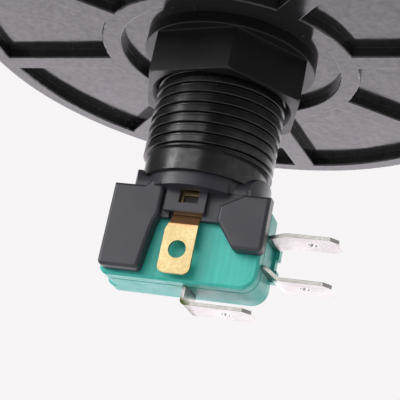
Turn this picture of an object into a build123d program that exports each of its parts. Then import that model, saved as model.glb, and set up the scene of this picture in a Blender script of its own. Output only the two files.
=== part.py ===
from build123d import *
import os
from math import asin, degrees, hypot, radians, sin, sqrt, tan

# Illuminated dome push button for a panel hole: a ribbed round base with a threaded stem and a nut,
# a sprung dome with its plunger, a lamp holder on the end of the stem, and a snap-action switch
# carried under the holder.
# Frame: the origin is the middle of the base's underside, which sits on the panel. +Z is up towards
# the dome, +X runs along the switch towards its side terminals, and -Y is the front, where the lamp
# tab stands.

# Base: a round pan with a ribbed underside
base_radius = 50.0
base_height = 14.0
base_wall = 3.0
base_floor = 2.0
rim_width = 3.6
rim_round = 0.8
pocket_depth = 1.9
rib_count = 8
rib_width = 4.5
rib_turn = -6.8
hub_radius = 24.0
recess_radius = 20.35
recess_depth = 1.8
edge_round = 0.3

# Stem: coarse shallow thread, then a plain collar at the end
thread_radius = 11.67
thread_length = 21.7
thread_pitch = 1.9
thread_depth = 0.55
groove_mouth = 0.65
groove_floor = 0.3
crest_cut = 0.1
collar_length = 4.0
collar_relief = 0.17

# Flange nut
nut_flats = 27.0
nut_turn = 48.0
nut_height = 10.1
nut_flange_radius = 15.75
nut_flange_height = 2.1
nut_flange_round = 0.12
nut_corner_cut = 0.55
nut_corner_angle = 30.0
nut_lead_in = 1.0
nut_play = 0.1

# Dome, its retaining ring and its travel
button_travel = 3.0
dome_height = 29.0
dome_wall = 2.2
dome_flange = 2.0
dome_side_play = 0.6
ring_height = 4.9
ring_lip = 1.6
ring_lip_width = 6.5
ring_lip_play = 0.5
ring_lift_play = 0.3
ring_round = 1.4
register_depth = 1.4
register_width = 1.4
register_play = 0.1

# Plunger and return spring
plate_thickness = 2.0
tube_wall = 1.3
tube_play = 0.08
tube_gap = 0.5
guide_wall = 4.0
stop_gap = 0.3
leg_thickness = 1.6
leg_width = 3.2
leg_play = 0.3
leg_root = 6.0
spring_radius = 15.6
spring_wire = 1.1
spring_turns = 3.5
spring_seat_gap = 0.05

# Wedge lamp
lamp_width = 9.5
lamp_thickness = 2.1
lamp_lead = 0.25
lamp_lead_width = 1.6
lamp_lead_spacing = 5.0
lamp_wedge_length = 7.0
lamp_body_radius = 4.8
lamp_body_length = 8.7
lamp_play = 0.1
led_board_radius = 4.3
led_board_thickness = 0.8
led_chip_size = 1.8
led_chip_height = 0.7
led_chip_circle = 2.7
led_chip_count = 4

# Lamp holder: spigot, plate, lip, ears, contact column and arms
holder_plate = 2.3
spigot_length = 8.5
spigot_wall = 1.0
spigot_play = 0.1
socket_wall = 1.0
socket_height = 6.0
bayonet_lug = 0.6
bayonet_height = 1.5
bayonet_width = 3.6
bayonet_play = 0.15
bayonet_rise = 1.3
bayonet_turn = 60.0
holder_inset = 0.9
ear_radius = 11.95
ear_play = 0.1
ear_rise = 2.0
ear_width = 13.2
ear_corner = 4.0
lip_inset = 0.55
lip_height = 1.6
lip_sink = 0.3
lip_left = 4.4
lip_right = 7.0
arm_gap = 0.15
arm_thickness = 2.45
arm_round = 0.6
arm_corner = 0.9
column_left = 3.75
column_right = 3.5
column_inset = 0.15
column_drop = 4.2
web_thickness = 1.2
web_drop = 5.2
web_right = 10.4
window_width = 3.45
window_shift = 0.35
window_drop = 2.65
window_rise = 1.0
notch_width = 2.3
notch_reach = 1.5
left_arm_margin = 2.4
left_arm_foot_margin = 2.0
left_arm_top_width = 9.05
left_arm_foot_width = 7.25
left_arm_shoulder = 4.9
left_arm_knee = 6.7
left_arm_knee_inset = 0.65
gusset_run = 3.4
gusset_rise = 1.5
right_arm_margin = 3.5
right_arm_width = 8.6
right_arm_top_width = 4.5
right_arm_foot_width = 5.1
right_arm_top = 0.2
right_arm_brow = 2.5
right_arm_shoulder = 5.2
right_arm_drop = 9.9
peg_play = 0.08
peg_end_gap = 0.8

# Brass lamp strips
strip_width = 5.75
neck_width = 5.05
shoulder_top = 5.7
shoulder_foot = 7.5
strip_thickness = 0.5
strip_play = 0.08
strip_bend = 0.45
strip_back_wall = 0.45
strip_run_gap = 0.5
tab_step = 0.8
tab_step_top = 4.5
tab_step_length = 1.9
tab_drop = 15.1
tab_corner = 1.2
tab_hole_radius = 1.56
tab_hole_drop = 10.85
tang_width = 2.7
tang_rise = 0.3
tang_reach = 0.5
lance_height = 1.5

# Snap-action switch
switch_length = 27.8
switch_height = 15.9
switch_depth = 10.3
switch_cover_depth = 2.55
switch_wall = 1.3
switch_foot_round = 2.9
switch_corner_round = 1.5
brow_run = 2.3
brow_drop = 1.3
seam_gap = 0.3
seam_depth = 0.5
switch_bevel = 0.4
switch_hole_inset = 2.8
switch_hole_spacing_z = 10.3
switch_hole_radius = 1.55
switch_boss_wall = 0.65
end_relief = 1.0
end_relief_depth = 3.15
end_reach = 0.8
guard_reach = 1.0
guard_depth = 1.7
guard_top = 5.4
guard_bottom = 11.6
guard_notch = 2.0
guard_notch_depth = 0.5

# Switch pin and contacts
pin_radius = 1.3
pin_play = 0.08
pin_rise = 2.2
pin_flange_radius = 1.65
pin_flange_height = 1.2
pin_stem_radius = 1.0
terminal_width = 6.35
terminal_thickness = 0.65
terminal_play = 0.06
terminal_bend = 0.6
joggle_bend = 1.6
terminal_tip_cut = 1.3
terminal_hole_radius = 0.92
terminal_hole_inset = 4.8
side_terminal_reach = 12.1
upper_root_drop = 5.8
upper_blade_drop = 5.05
lower_root_drop = 11.1
lower_blade_drop = 12.9
joggle_start = 0.6
joggle_run = 2.6
terminal_inner_reach = 5.2
common_x = 1.3
common_blade_drop = 3.0
common_reach = 12.0
common_floor_gap = 0.4
common_shelf_run = 5.0
common_shelf_drop = 9.2
common_pivot_inset = 2.3
contact_inset = 3.5
contact_radius = 1.3
contact_height = 0.775
contact_shank = 0.6
contact_shank_play = 0.02
contact_gap = 0.1
moving_contact_height = 0.5
blade_thickness = 0.35
blade_width = 5.0
blade_heel = 0.5
blade_seat_gap = 0.05
snap_thickness = 0.2
snap_width = 2.4
snap_heel_gap = 0.7
snap_heel_drop = 1.9
snap_belly_drop = 3.6
snap_length = 9.0

# Levels, from the dome down to the switch
pocket_radius = base_radius - rim_width
pan_radius = base_radius - base_wall
floor_top = pocket_depth + base_floor
ring_top = base_height + ring_height
lip_bottom = ring_top - ring_lip
flange_top = lip_bottom - ring_lift_play
plate_top = flange_top - dome_flange
plate_bottom = plate_top - plate_thickness
stem_end = -thread_length - collar_length
switch_top = stem_end - holder_plate
switch_bottom = switch_top - switch_height
switch_front = switch_depth / 2
switch_end = switch_length / 2
switch_split = switch_front - switch_cover_depth
switch_hole_spacing_x = switch_length - 2 * switch_hole_inset
hole_x = switch_hole_spacing_x / 2
hole_middle = (switch_top + switch_bottom) / 2
hole_high = hole_middle + switch_hole_spacing_z / 2
hole_low = hole_middle - switch_hole_spacing_z / 2

# Radii from the lamp outwards: socket, plunger leg, spigot, stem bore
socket_half = lamp_width / 2 + lamp_play + socket_wall
leg_inner = socket_half + leg_play
leg_outer = leg_inner + leg_thickness
spigot_inner = hypot(leg_outer, leg_width / 2) + leg_play
spigot_radius = spigot_inner + spigot_wall
bore_radius = spigot_radius + spigot_play
tube_radius = bore_radius - tube_play
tube_inner = tube_radius - tube_wall
collar_radius = thread_radius - thread_depth - collar_relief
spigot_top = stem_end + spigot_length
tube_end = spigot_top + button_travel + tube_gap
bayonet_bottom = stem_end + bayonet_rise

# Dome flange, ring and plunger plate share the pan's inside radius
plate_radius = pan_radius - dome_side_play
ring_lip_radius = base_radius - ring_lip_width
dome_radius = ring_lip_radius - ring_lip_play
dome_sphere = (dome_radius**2 + dome_height**2) / (2 * dome_height)
dome_centre = flange_top + dome_height - dome_sphere
dome_inner_radius = dome_radius - dome_wall
dome_inner_sphere = dome_sphere - dome_wall

# Switch inside: contacts, blade and pin
upper_root = switch_top - upper_root_drop
lower_root = switch_top - lower_root_drop
terminal_inner_x = switch_end - terminal_inner_reach
contact_x = switch_end - contact_inset
common_pivot_x = common_pivot_inset - switch_end
common_post_x = common_pivot_x + common_shelf_run
upper_contact_face = upper_root - terminal_thickness / 2 - contact_height
lower_contact_face = lower_root + terminal_thickness / 2 + contact_height
blade_top = upper_contact_face - contact_gap - moving_contact_height
blade_bottom = blade_top - blade_thickness
pivot_z = blade_bottom - blade_seat_gap
contact_stroke = blade_bottom - moving_contact_height - lower_contact_face - contact_gap
blade_swing = asin(contact_stroke / (contact_x - common_pivot_x))
pin_x = (leg_inner + leg_outer) / 2
pin_travel = (pin_x - common_pivot_x) * sin(blade_swing)
pin_top = switch_top + pin_rise
pin_end = blade_top + blade_seat_gap
free_play = button_travel - pin_travel + blade_seat_gap
leg_end = pin_top + free_play

# Planes whose local x points outwards at the front and at the rear, with local y up
front_section = Plane(origin=(0, 0, 0), x_dir=(0, -1, 0), z_dir=(-1, 0, 0))
rear_section = Plane(origin=(0, 0, 0), x_dir=(0, 1, 0), z_dir=(1, 0, 0))
# Planes that face outwards at the front and at the rear, with local y up
front_face = Plane.XZ
rear_face = Plane(origin=(0, 0, 0), x_dir=(-1, 0, 0), z_dir=(0, 1, 0))

os.makedirs("parts", exist_ok=True)


def save(piece, name):
    """Labels a finished piece and writes it as one node."""
    piece.part.label = name
    export_step(piece.part, f"parts/{name}.step")
    print(name, round(piece.part.volume, 1))


def bent_strip(plane, route, thickness, width, bend):
    """A metal strip of one thickness and width, bent along a route drawn on a plane."""
    with BuildSketch(plane) as profile:
        with BuildLine():
            FilletPolyline(*route, radius=bend)
            offset(amount=thickness / 2, side=Side.BOTH)
        make_face()
    extrude(profile.sketch, amount=width / 2, both=True)


# Base housing
with BuildPart() as base_housing:
    with BuildSketch():
        Circle(base_radius)
    extrude(amount=base_height)
    with BuildSketch(Plane.XY.offset(floor_top)):
        Circle(pan_radius)
    extrude(amount=base_height - floor_top, mode=Mode.SUBTRACT)
    # Step inside the rim that takes the ring's register
    with BuildSketch(Plane.XY.offset(base_height)):
        Circle(pan_radius + register_width + register_play)
    extrude(amount=-register_depth - register_play, mode=Mode.SUBTRACT)
    # Pockets between the ribs
    with BuildSketch():
        Circle(pocket_radius)
        Circle(hub_radius, mode=Mode.SUBTRACT)
        with PolarLocations(0, rib_count, start_angle=rib_turn):
            Rectangle(base_radius, rib_width, align=(Align.MIN, Align.CENTER), mode=Mode.SUBTRACT)
    extrude(amount=pocket_depth, mode=Mode.SUBTRACT)
    with BuildSketch():
        Circle(recess_radius)
    extrude(amount=recess_depth, mode=Mode.SUBTRACT)
    underside = base_housing.edges().filter_by_position(Axis.Z, 0, 0)
    rim_edge = underside.sort_by(SortBy.LENGTH)[-1]
    fillet(underside - [rim_edge], edge_round)
    fillet(base_housing.edges().filter_by_position(Axis.Z, 0, 0).sort_by(SortBy.LENGTH)[-1], rim_round)
    # Guide on the pan floor, which also stops the plunger
    with BuildSketch(Plane.XY.offset(floor_top)):
        Circle(bore_radius + guide_wall)
    extrude(amount=plate_bottom - button_travel - stop_gap - floor_top)
    with BuildSketch(Plane.XY.offset(recess_depth)):
        Circle(thread_radius)
    extrude(amount=-recess_depth - thread_length)
    # Thread groove, a helix that runs out over the collar
    groove_start = -thread_length - thread_pitch / 2
    with BuildLine(Plane.XY.offset(groove_start)):
        Helix(thread_pitch, thread_length + thread_pitch, thread_radius)
    with BuildSketch(Plane((thread_radius, 0, groove_start), x_dir=(1, 0, 0), z_dir=(0, -1, 0))):
        # The groove's flanks, then a small cut that takes the edge off the crests
        brow = groove_mouth / 2 + 2 * crest_cut
        with BuildLine():
            Polyline(
                (-thread_depth, -groove_floor / 2),
                (-thread_depth, groove_floor / 2),
                (-crest_cut, groove_mouth / 2),
                (crest_cut, brow),
                (crest_cut, -brow),
                (-crest_cut, -groove_mouth / 2),
                close=True,
            )
        make_face()
    sweep(is_frenet=True, mode=Mode.SUBTRACT)
    with BuildSketch(Plane.XY.offset(-thread_length)):
        Circle(collar_radius)
    extrude(amount=-collar_length)
    with BuildSketch(Plane.XY.offset(stem_end)):
        Circle(bore_radius)
    extrude(amount=plate_bottom - stem_end, mode=Mode.SUBTRACT)
    # Bayonet: a groove inside the collar and two ways into it from the end
    entry_width = bayonet_width + 2 * bayonet_play
    with BuildSketch(Plane.XY.offset(bayonet_bottom - bayonet_play)):
        Circle(bore_radius + bayonet_lug)
    extrude(amount=bayonet_height + 2 * bayonet_play, mode=Mode.SUBTRACT)
    with BuildSketch(Plane.XY.offset(stem_end)):
        Circle(bore_radius + bayonet_lug)
        with PolarLocations(0, 2, start_angle=90 - bayonet_turn):
            Rectangle(base_radius, entry_width, align=(Align.MIN, Align.CENTER), mode=Mode.INTERSECT)
    extrude(amount=bayonet_rise, mode=Mode.SUBTRACT)
save(base_housing, "base_housing")

# Ring that keeps the dome in the pan
with BuildPart() as trim_ring:
    with BuildSketch(Plane.XY.offset(base_height)):
        Circle(base_radius)
        Circle(pan_radius, mode=Mode.SUBTRACT)
    extrude(amount=ring_height)
    with BuildSketch(Plane.XY.offset(base_height)):
        Circle(pan_radius + register_width)
        Circle(pan_radius, mode=Mode.SUBTRACT)
    extrude(amount=-register_depth)
    with BuildSketch(Plane.XY.offset(lip_bottom)):
        Circle(base_radius)
        Circle(ring_lip_radius, mode=Mode.SUBTRACT)
    extrude(amount=ring_lip)
    top_edges = trim_ring.edges().filter_by_position(Axis.Z, ring_top, ring_top).sort_by(SortBy.LENGTH)
    fillet(top_edges[-1], ring_round)
    fillet(top_edges[0], edge_round)
save(trim_ring, "trim_ring")

# Dome: a spherical shell with a flange that the ring holds down
with BuildPart() as dome_lens:
    with BuildSketch(Plane.XZ):
        with BuildLine():
            inner_start = dome_centre + sqrt(dome_inner_sphere**2 - dome_inner_radius**2)
            apex = flange_top + dome_height
            haunch = sqrt(0.5)
            Polyline(
                (dome_inner_radius, inner_start),
                (dome_inner_radius, plate_top),
                (plate_radius, plate_top),
                (plate_radius, flange_top),
                (dome_radius, flange_top),
            )
            ThreePointArc(
                (dome_radius, flange_top),
                (dome_sphere * haunch, dome_centre + dome_sphere * haunch),
                (0, apex),
            )
            Line((0, apex), (0, apex - dome_wall))
            ThreePointArc(
                (0, apex - dome_wall),
                (dome_inner_sphere * haunch, dome_centre + dome_inner_sphere * haunch),
                (dome_inner_radius, inner_start),
            )
        make_face()
    revolve(axis=Axis.Z)
save(dome_lens, "dome_lens")

# Plunger: plate under the dome, tube in the stem, and the leg that works the switch
with BuildPart() as plunger:
    with BuildSketch(Plane.XY.offset(plate_bottom)):
        Circle(plate_radius)
    extrude(amount=plate_thickness)
    with BuildSketch(Plane.XY.offset(tube_end)):
        Circle(tube_radius)
    extrude(amount=plate_bottom - tube_end)
    with BuildSketch(Plane.XY.offset(tube_end)):
        Circle(tube_inner)
    extrude(amount=plate_top - tube_end, mode=Mode.SUBTRACT)
    with BuildSketch(Plane.XY.offset(tube_end + leg_root)):
        with Locations((leg_inner, 0)):
            Rectangle(tube_radius - leg_inner, leg_width, align=(Align.MIN, Align.CENTER))
        Circle(tube_radius, mode=Mode.INTERSECT)
    extrude(amount=-leg_root)
    with BuildSketch(Plane.XY.offset(tube_end)):
        with Locations((leg_inner, 0)):
            Rectangle(leg_thickness, leg_width, align=(Align.MIN, Align.CENTER))
    extrude(amount=leg_end - tube_end)
save(plunger, "plunger")

# Return spring between the pan floor and the plunger plate
with BuildPart() as return_spring:
    spring_bottom = floor_top + spring_wire / 2 + spring_seat_gap
    spring_rise = plate_bottom - floor_top - spring_wire - 2 * spring_seat_gap
    with BuildLine(Plane.XY.offset(spring_bottom)):
        Helix(spring_rise / spring_turns, spring_rise, spring_radius)
    with BuildSketch(Plane((spring_radius, 0, spring_bottom), x_dir=(1, 0, 0), z_dir=(0, -1, 0))):
        Circle(spring_wire / 2)
    sweep(is_frenet=True)
save(return_spring, "return_spring")

# Flange nut, screwed up against the floor of the hub recess
with BuildPart() as flange_nut:
    nut_bottom = recess_depth - nut_height
    nut_corner = nut_flats / sqrt(3)
    flange_bottom = recess_depth - nut_flange_height
    with BuildSketch(Plane.XY.offset(flange_bottom)):
        Circle(nut_flange_radius)
    extrude(amount=nut_flange_height)
    fillet(flange_nut.edges().filter_by_position(Axis.Z, flange_bottom, flange_bottom), nut_flange_round)
    with BuildSketch(Plane.XY.offset(nut_bottom)):
        RegularPolygon(nut_corner, 6, rotation=nut_turn)
    extrude(amount=nut_height)
    # Corners turned off on the lower face
    with BuildSketch(Plane.XZ):
        cut_inner = nut_corner - nut_corner_cut
        cut_outer = nut_corner + nut_corner_cut
        cut_rise = (cut_outer - cut_inner) * tan(radians(nut_corner_angle))
        with BuildLine():
            Polyline(
                (cut_inner, nut_bottom),
                (cut_outer, nut_bottom),
                (cut_outer, nut_bottom + cut_rise),
                close=True,
            )
        make_face()
    revolve(axis=Axis.Z, mode=Mode.SUBTRACT)
    with BuildSketch(Plane.XY.offset(nut_bottom)):
        Circle(thread_radius + nut_play)
    extrude(amount=nut_height, mode=Mode.SUBTRACT)
    mouth = flange_nut.edges().filter_by_position(Axis.Z, nut_bottom, nut_bottom)
    chamfer(mouth.filter_by(GeomType.CIRCLE).sort_by(SortBy.RADIUS)[0], nut_lead_in)
save(flange_nut, "flange_nut")

# Arms of the lamp holder, flat plates in front of the switch
arm_back = switch_front + arm_gap
arm_front = arm_back + arm_thickness
left_outer = -hole_x - left_arm_margin
left_foot = hole_low - left_arm_foot_margin
right_outer = hole_x + right_arm_margin
right_foot = switch_top - right_arm_drop
left_inner = left_outer + left_arm_top_width
right_inner = right_outer - right_arm_width
with BuildPart() as holder_arms:
    with BuildSketch(front_face.offset(arm_back)) as arm_outlines:
        with BuildLine():
            Polyline(
                (left_outer, switch_top),
                (left_inner - gusset_run, switch_top),
                (left_inner - gusset_run + gusset_rise, switch_top + gusset_rise),
                (left_inner, switch_top + gusset_rise),
                (left_inner, switch_top - left_arm_shoulder),
                (left_inner - left_arm_knee_inset, switch_top - left_arm_knee),
                (left_outer + left_arm_foot_width, left_foot),
                (left_outer, left_foot),
                close=True,
            )
        make_face()
        with BuildLine():
            Polyline(
                (right_outer, switch_top - right_arm_top),
                (right_outer, right_foot),
                (right_outer - right_arm_foot_width, right_foot),
                (right_inner, switch_top - right_arm_shoulder),
                (right_inner, switch_top - right_arm_brow),
                (right_outer - right_arm_top_width, switch_top - right_arm_top),
                close=True,
            )
        make_face()
        feet = arm_outlines.vertices().filter_by_position(Axis.Y, left_foot, right_foot)
        fillet(feet, arm_corner)
    extrude(amount=arm_thickness)
    fillet(holder_arms.edges().filter_by_position(Axis.Y, -arm_front, -arm_front), arm_round)

# Ears of the lamp holder: tabs with round corners that stand up beside the collar
with BuildPart() as holder_ears:
    with BuildSketch(Plane.XY.offset(switch_top)):
        Circle(ear_radius)
    extrude(amount=holder_plate + ear_rise)
    with BuildSketch(Plane.XY.offset(stem_end)):
        Circle(collar_radius + ear_play)
    extrude(amount=ear_rise, mode=Mode.SUBTRACT)
    with BuildSketch(Plane.YZ) as ear_outline:
        with Locations((0, switch_top)):
            Rectangle(ear_width, holder_plate + ear_rise, align=(Align.CENTER, Align.MIN))
        fillet(ear_outline.vertices().group_by(Axis.Y)[-1], ear_corner)
    extrude(amount=ear_radius, both=True, mode=Mode.INTERSECT)

# Lamp holder
strip_middle = arm_back + strip_back_wall + strip_play + strip_thickness / 2
strip_slot = strip_thickness / 2 + strip_play
lamp_face = lamp_thickness / 2 + strip_play / 2
lamp_strip_middle = lamp_face + strip_thickness / 2
socket_depth = lamp_strip_middle + strip_slot + socket_wall
strip_run = switch_top + strip_run_gap + strip_thickness / 2
slot_width = strip_width + 2 * strip_play
column_front = arm_front - column_inset
with BuildPart() as lamp_holder:
    # Plate under the stem, a little smaller than the collar
    with BuildSketch(Plane.XY.offset(switch_top)):
        Circle(collar_radius - holder_inset)
    extrude(amount=holder_plate)
    add(holder_ears.part)
    with BuildSketch(Plane.XY.offset(stem_end)):
        Circle(spigot_radius)
        Circle(spigot_inner, mode=Mode.SUBTRACT)
    extrude(amount=spigot_length)
    # Bayonet lugs on the spigot
    with BuildSketch(Plane.XY.offset(bayonet_bottom)):
        with PolarLocations(0, 2, start_angle=90):
            Rectangle(base_radius, bayonet_width, align=(Align.MIN, Align.CENTER))
        Circle(bore_radius + bayonet_lug - bayonet_play, mode=Mode.INTERSECT)
        Circle(spigot_inner, mode=Mode.SUBTRACT)
    extrude(amount=bayonet_height)
    # Lamp socket
    with BuildSketch(Plane.XY.offset(stem_end)):
        Rectangle(2 * socket_half, 2 * socket_depth)
    extrude(amount=socket_height)
    with BuildSketch(Plane.XY.offset(stem_end)):
        Rectangle(lamp_width + 2 * lamp_play, lamp_thickness + lamp_play)
    extrude(amount=socket_height, mode=Mode.SUBTRACT)
    for face in (front_face, rear_face):
        # Lip below the collar
        with BuildSketch(Plane(origin=(0, 0, switch_top - lip_sink), x_dir=face.x_dir, z_dir=(0, 0, 1))):
            with Locations(((lip_right - lip_left) / 2, -arm_back)):
                Rectangle(lip_left + lip_right, base_radius, align=(Align.CENTER, Align.MAX))
            Circle(collar_radius - lip_inset, mode=Mode.INTERSECT)
        extrude(amount=lip_height)
        # Column for the lamp strip
        with BuildSketch(face.offset(arm_back)):
            with Locations((-column_left, switch_top)):
                Rectangle(column_left + column_right, column_drop, align=(Align.MIN, Align.MAX))
        extrude(amount=column_front - arm_back)
    # Web between the column and the arms
    with BuildSketch(front_face.offset(arm_back)):
        with Locations((left_inner - arm_thickness, switch_top + holder_plate / 2)):
            Rectangle(
                right_inner - left_inner + 2 * arm_thickness,
                web_drop + holder_plate / 2,
                align=(Align.MIN, Align.MAX),
            )
        with Locations((0, switch_top + holder_plate / 2)):
            Rectangle(web_right, right_arm_brow + holder_plate / 2, align=(Align.MIN, Align.MAX))
    extrude(amount=web_thickness)
    add(holder_arms.part)
    # Pegs through the switch's two holes
    with BuildSketch(front_face.offset(arm_back)):
        with Locations((-hole_x, hole_low), (hole_x, hole_high)):
            Circle(switch_hole_radius - peg_play)
    extrude(amount=peg_end_gap - arm_back - switch_front)
    for face, section in ((front_face, front_section), (rear_face, rear_section)):
        # Slot for the strip: down from the socket, out under the plate and down the column
        with BuildSketch(section):
            with Locations((lamp_face, stem_end + socket_height)):
                Rectangle(
                    strip_thickness + strip_play,
                    socket_height + holder_plate,
                    align=(Align.MIN, Align.MAX),
                )
            with Locations((lamp_face, switch_top)):
                Rectangle(
                    strip_middle + strip_slot - lamp_face,
                    strip_run_gap + strip_thickness + strip_play,
                    align=(Align.MIN, Align.MIN),
                )
            with Locations((strip_middle, switch_top)):
                Rectangle(2 * strip_slot, web_drop, align=(Align.CENTER, Align.MAX))
            # Below the column the strip is open to the front
            with Locations((strip_middle - strip_slot, switch_top - column_drop)):
                Rectangle(arm_front - strip_middle, web_drop, align=(Align.MIN, Align.MAX))
        extrude(amount=slot_width / 2, both=True, mode=Mode.SUBTRACT)
        # Window in the column, where the strip's tongue catches
        with BuildSketch(face.offset(strip_middle)):
            with Locations((window_shift, switch_top - window_drop)):
                Rectangle(window_width, window_drop, align=(Align.CENTER, Align.MIN))
        extrude(amount=column_front - strip_middle, mode=Mode.SUBTRACT)
        # Notch over the window, up into the lip
        with BuildSketch(face.offset(strip_middle)):
            with Locations((window_shift, switch_top)):
                Rectangle(notch_width, window_rise, align=(Align.CENTER, Align.MIN))
        extrude(amount=column_front - strip_middle + notch_reach, mode=Mode.SUBTRACT)
    # Way through the plate for the plunger leg and the switch pin
    with BuildSketch(Plane.XY.offset(switch_top)):
        with Locations((pin_x, 0)):
            Rectangle(leg_thickness + 2 * leg_play, leg_width + 2 * leg_play)
            Circle(pin_radius + leg_play)
    extrude(amount=holder_plate, mode=Mode.SUBTRACT)
save(lamp_holder, "lamp_holder")

# Brass lamp strips, the same piece at the front and the rear
strip_route = (
    (lamp_strip_middle, stem_end + socket_height - strip_thickness),
    (lamp_strip_middle, strip_run),
    (strip_middle, strip_run),
    (strip_middle, switch_top - tab_step_top),
    (strip_middle + tab_step, switch_top - tab_step_top - tab_step_length),
    (strip_middle + tab_step, switch_top - tab_drop),
)
for side, face, section in (("front", front_face, front_section), ("rear", rear_face, rear_section)):
    with BuildPart() as lamp_contact:
        bent_strip(section, strip_route, strip_thickness, strip_width, strip_bend)
        # Face view of the strip: a neck, one shoulder, a rounded foot and the hole in the tab
        with BuildSketch(face) as outline:
            with BuildLine():
                Polyline(
                    (-strip_width / 2, switch_top - tab_drop),
                    (strip_width / 2, switch_top - tab_drop),
                    (strip_width / 2, stem_end + socket_height),
                    (strip_width / 2 - neck_width, stem_end + socket_height),
                    (strip_width / 2 - neck_width, switch_top - shoulder_top),
                    (-strip_width / 2, switch_top - shoulder_foot),
                    close=True,
                )
            make_face()
            fillet(outline.vertices().group_by(Axis.Y)[0], tab_corner)
            with Locations((0, switch_top - tab_hole_drop)):
                Circle(tab_hole_radius, mode=Mode.SUBTRACT)
        extrude(amount=2 * arm_front, mode=Mode.INTERSECT)
        # Tongue lanced out of the strip, which locks it in the column's window
        sill = switch_top - window_drop
        with BuildSketch(face.offset(lamp_strip_middle + strip_thickness)):
            with Locations((window_shift, sill + tang_rise)):
                Rectangle(tang_width, lance_height, align=(Align.CENTER, Align.MIN))
        extrude(amount=arm_front, mode=Mode.SUBTRACT)
        with BuildSketch(face.offset(strip_middle)):
            with Locations((window_shift, sill + tang_rise)):
                Rectangle(tang_width, tang_rise, align=(Align.CENTER, Align.MAX))
        extrude(amount=strip_thickness / 2 + tang_reach)
    save(lamp_contact, f"lamp_contact_{side}")

# Wedge lamp: base, its two folded lead wires, board and chips
wedge_thickness = lamp_thickness - 2 * lamp_lead
lamp_shoulder = stem_end + lamp_wedge_length
lamp_top = lamp_shoulder + lamp_body_length
with BuildPart() as lamp_base:
    with BuildSketch(Plane.XY.offset(stem_end + lamp_lead)):
        Rectangle(lamp_width, wedge_thickness)
    extrude(amount=lamp_wedge_length - lamp_lead)
    with BuildSketch(Plane.XY.offset(lamp_shoulder)):
        Circle(lamp_body_radius)
    extrude(amount=lamp_body_length)
    fillet(lamp_base.edges().filter_by_position(Axis.Z, lamp_top, lamp_top), edge_round)
save(lamp_base, "lamp_base")

with BuildPart() as lamp_leads:
    # Each wire is folded round the end of the wedge and lies on one face
    for face, lead_x in ((front_face, -lamp_lead_spacing / 2), (rear_face, -lamp_lead_spacing / 2)):
        with BuildSketch(face.offset(wedge_thickness / 2)):
            with Locations((lead_x, stem_end)):
                Rectangle(lamp_lead_width, lamp_wedge_length, align=(Align.CENTER, Align.MIN))
        extrude(amount=lamp_lead)
        with BuildSketch(face):
            with Locations((lead_x, stem_end)):
                Rectangle(lamp_lead_width, lamp_lead, align=(Align.CENTER, Align.MIN))
        extrude(amount=wedge_thickness / 2)
save(lamp_leads, "lamp_leads")

with BuildPart() as led_board:
    with BuildSketch(Plane.XY.offset(lamp_top)):
        Circle(led_board_radius)
    extrude(amount=led_board_thickness)
save(led_board, "led_board")

with BuildPart() as led_chips:
    with BuildSketch(Plane.XY.offset(lamp_top + led_board_thickness)):
        with PolarLocations(led_chip_circle, led_chip_count):
            Rectangle(led_chip_size, led_chip_size)
    extrude(amount=led_chip_height)
save(led_chips, "led_chips")


def switch_outline(inset):
    """Side view of the switch, drawn inset from its outer faces: a round foot below the terminals, a cut brow
    above them, and rounds at the other end as far as the inset leaves any."""
    end, top = switch_end - inset, switch_top - inset
    with Locations((0, hole_middle)):
        Rectangle(2 * end, switch_height - 2 * inset)
    fillet(vertices().sort_by(Axis.X)[2:].sort_by(Axis.Y)[0], switch_foot_round - inset)
    if switch_corner_round > inset:
        fillet(vertices().group_by(Axis.X)[0], switch_corner_round - inset)
    Polygon((end - brow_run, top), (end, top - brow_drop), (end, top), align=None, mode=Mode.SUBTRACT)


def terminal_slots():
    """Openings in the shells for the three terminals, cut from the part being built."""
    slot = terminal_thickness + 2 * terminal_play
    with BuildSketch(front_face) as slots:
        with Locations((switch_end, upper_root), (switch_end, lower_root)):
            Rectangle(4 * switch_wall, slot)
        with Locations((common_x, switch_bottom)):
            Rectangle(slot, 4 * switch_wall)
    extrude(slots.sketch, amount=terminal_width / 2 + terminal_play, both=True, mode=Mode.SUBTRACT)


def peg_holes(depth):
    """The two fixing holes, right through the switch."""
    with BuildSketch(front_face) as holes:
        with Locations((-hole_x, hole_low), (hole_x, hole_high)):
            Circle(switch_hole_radius)
    extrude(holes.sketch, amount=depth, both=True, mode=Mode.SUBTRACT)


def switch_body(outer_face):
    """One half of the switch's body, still solid. It stops short of the split, and a smaller land inside the
    seam meets the other half."""
    step = seam_gap / 2 if outer_face > switch_split else -seam_gap / 2
    with BuildSketch(front_face.offset(switch_split + step)) as body:
        switch_outline(0)
    extrude(body.sketch, amount=outer_face - switch_split - step)
    with BuildSketch(front_face.offset(switch_split)) as land:
        switch_outline(seam_depth)
    extrude(land.sketch, amount=step)


def switch_cavity(inner_face):
    """Hollows one half from the split to its inner face, and leaves bosses round the fixing holes."""
    with BuildSketch(front_face.offset(switch_split)) as cavity:
        switch_outline(switch_wall)
        with Locations((-hole_x, hole_low), (hole_x, hole_high)):
            Circle(switch_hole_radius + switch_boss_wall, mode=Mode.SUBTRACT)
        # The corners outside the bosses stay solid
        with Locations((-switch_end, hole_low), (switch_end, hole_high)):
            boss = switch_hole_radius + switch_boss_wall
            Rectangle(2 * (switch_end - hole_x), 2 * boss, mode=Mode.SUBTRACT)
        with Locations((-hole_x, switch_bottom), (hole_x, switch_top)):
            Rectangle(2 * boss, 2 * (hole_low - switch_bottom), mode=Mode.SUBTRACT)
    extrude(cavity.sketch, amount=inner_face - switch_split, mode=Mode.SUBTRACT)


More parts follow.
